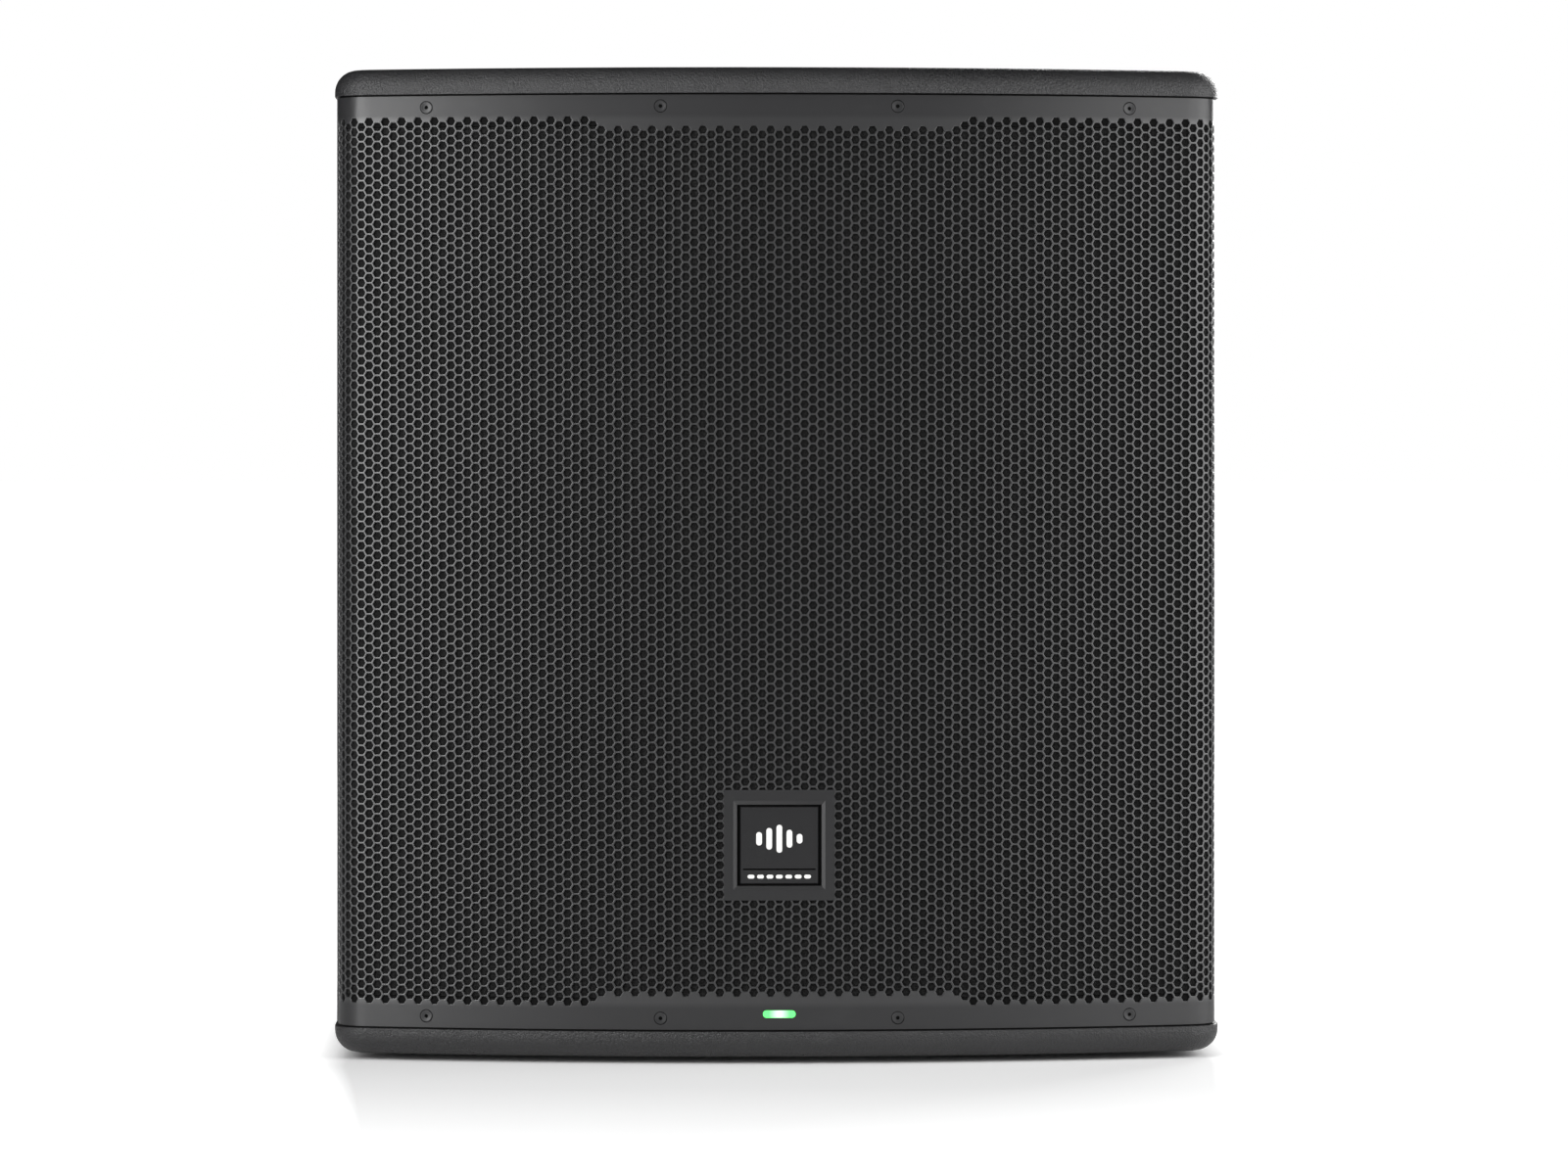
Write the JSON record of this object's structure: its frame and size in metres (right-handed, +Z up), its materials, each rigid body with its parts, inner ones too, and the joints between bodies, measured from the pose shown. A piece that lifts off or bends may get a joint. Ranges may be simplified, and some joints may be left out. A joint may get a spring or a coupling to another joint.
{
  "type": "powered subwoofer cabinet",
  "caption": "Tall plywood loudspeaker box with a bowed perforated front, side handles, a pole socket on top and an amplifier panel on the back.",
  "frame": {"origin": "on the floor under the middle of the cabinet's box", "axes": "+Z up, grille faces -Y, amplifier panel faces +Y, +X to the right seen from the front"},
  "size_m": [0.6026, 0.713, 0.672],
  "materials": {
    "coated_plywood": "hard-wearing textured black coating",
    "bare_plywood": "bare birch plywood",
    "grille_steel": "satin black powder coat on perforated steel",
    "acoustic_foam": "open-cell black foam",
    "black_screw": "black screws",
    "badge_metal": "black, satin, with bevelled edges",
    "badge_enamel": "gloss black enamel",
    "emblem_white": "white inlay",
    "green_lens": "lit green light bar",
    "circuit_board": "green solder mask",
    "cast_socket": "black powder-coated casting",
    "handle_plastic": "moulded black plastic, fine texture",
    "foot_rubber": "black rubber",
    "zinc_steel": "zinc-plated steel",
    "basket_alloy": "black-painted cast alloy",
    "surround_cloth": "impregnated cloth",
    "cone_paper": "pressed paper pulp, black",
    "coil_copper": "enamelled copper winding",
    "spider_cloth": "resin-soaked cloth",
    "magnet_ferrite": "dark grey ferrite",
    "connector_plastic": "black moulded plastic",
    "panel_paint": "fine-textured black paint with white print",
    "anodised_aluminium": "black anodised extrusion",
    "transformer_iron": "varnished laminations with yellow tape",
    "capacitor_sleeve": "shrink sleeve",
    "standoff_brass": "brass",
    "display_glass": "smoked clear window",
    "display_screen": "backlit screen",
    "knob_plastic": "soft-touch black",
    "connector_metal": "black-plated shells",
    "latch_steel": "nickel-plated steel",
    "contact_gold": "gold-plated contacts",
    "rocker_plastic": "black moulded plastic with white marks",
    "cable_rubber": "black insulated leads"
  },
  "bodies": {
    "cabinet": {"top_panel": "coated_plywood", "bottom_panel": "coated_plywood", "right_side_panel": "coated_plywood", "left_side_panel": "coated_plywood", "rear_panel": "coated_plywood", "front_baffle": "coated_plywood", "window_brace": "bare_plywood", "grille": "grille_steel", "grille_foam": "acoustic_foam", "grille_screws": "black_screw", "grille_battens": "coated_plywood", "badge_frame": "badge_metal", "badge_plate": "badge_enamel", "status_light_lens": "green_lens", "status_light_board": "circuit_board", "pole_socket": "cast_socket", "pole_socket_screws": "black_screw", "right_handle": "handle_plastic", "left_handle": "handle_plastic", "handle_screws": "black_screw", "rubber_feet": "foot_rubber", "foot_screws": "zinc_steel", "woofer_basket": "basket_alloy", "woofer_gasket": "foot_rubber", "woofer_surround": "surround_cloth", "woofer_spider": "spider_cloth", "woofer_front_plate": "zinc_steel", "woofer_magnet": "magnet_ferrite", "woofer_pole_yoke": "zinc_steel", "woofer_terminals": "connector_plastic", "woofer_bolts": "zinc_steel", "port_tubes": "connector_plastic", "amp_plate": "panel_paint", "amp_gasket": "foot_rubber", "amp_screws": "black_screw", "heat_sinks": "anodised_aluminium", "amp_cover": "zinc_steel", "amp_board": "circuit_board", "input_board": "circuit_board", "power_transformer": "transformer_iron", "filter_capacitors": "capacitor_sleeve", "board_standoffs": "standoff_brass", "display_window": "display_glass", "display_module": "display_screen", "encoder_body": "zinc_steel", "input_sockets": "connector_metal", "output_sockets": "connector_metal", "contact_pins": "contact_gold", "power_inlet": "connector_plastic", "switch_housing": "connector_plastic", "inner_cables": "cable_rubber"},
    "cone": {"woofer_cone": "cone_paper", "woofer_dust_cap": "cone_paper", "woofer_voice_coil": "coil_copper"},
    "encoder_push_button": {"encoder_plunger": "zinc_steel"},
    "encoder_knob_and_shaft": {"encoder_shaft": "zinc_steel", "encoder_knob": "knob_plastic"},
    "power_rocker": {"switch_rocker": "rocker_plastic"},
    "left_latch": {"left_input_latch": "latch_steel"},
    "right_latch": {"right_input_latch": "latch_steel"}
  },
  "joints": [
    {"name": "cone_travel", "type": "slide", "parent": "cabinet", "child": "cone", "axis": [0, 1, 0], "range_m": [-0.01, 0.01], "stiffness_N_per_m": 8000, "deforming": ["woofer_surround", "woofer_spider"]},
    {"name": "encoder_push", "type": "slide", "parent": "cabinet", "child": "encoder_push_button", "axis": [0, -1, 0], "range_m": [0, 0.0008], "stiffness_N_per_m": 2500, "springref_m": -0.0008},
    {"name": "encoder_turn", "type": "hinge", "parent": "encoder_push_button", "child": "encoder_knob_and_shaft", "pos_m": [0, 0.34, 0.47], "axis": [0, 1, 0], "continuous": true},
    {"name": "power_switch", "type": "hinge", "parent": "cabinet", "child": "power_rocker", "pos_m": [-0.036, 0.3345, 0.226], "axis": [1, 0, 0], "range_deg": [-20, 0]},
    {"name": "left_latch_press", "type": "slide", "parent": "cabinet", "child": "left_latch", "axis": [0, -1, 0], "range_m": [0, 0.0014], "stiffness_N_per_m": 1000, "springref_m": -0.001},
    {"name": "right_latch_press", "type": "slide", "parent": "cabinet", "child": "right_latch", "axis": [0, -1, 0], "range_m": [0, 0.0014], "stiffness_N_per_m": 1000, "springref_m": -0.001}
  ]
}
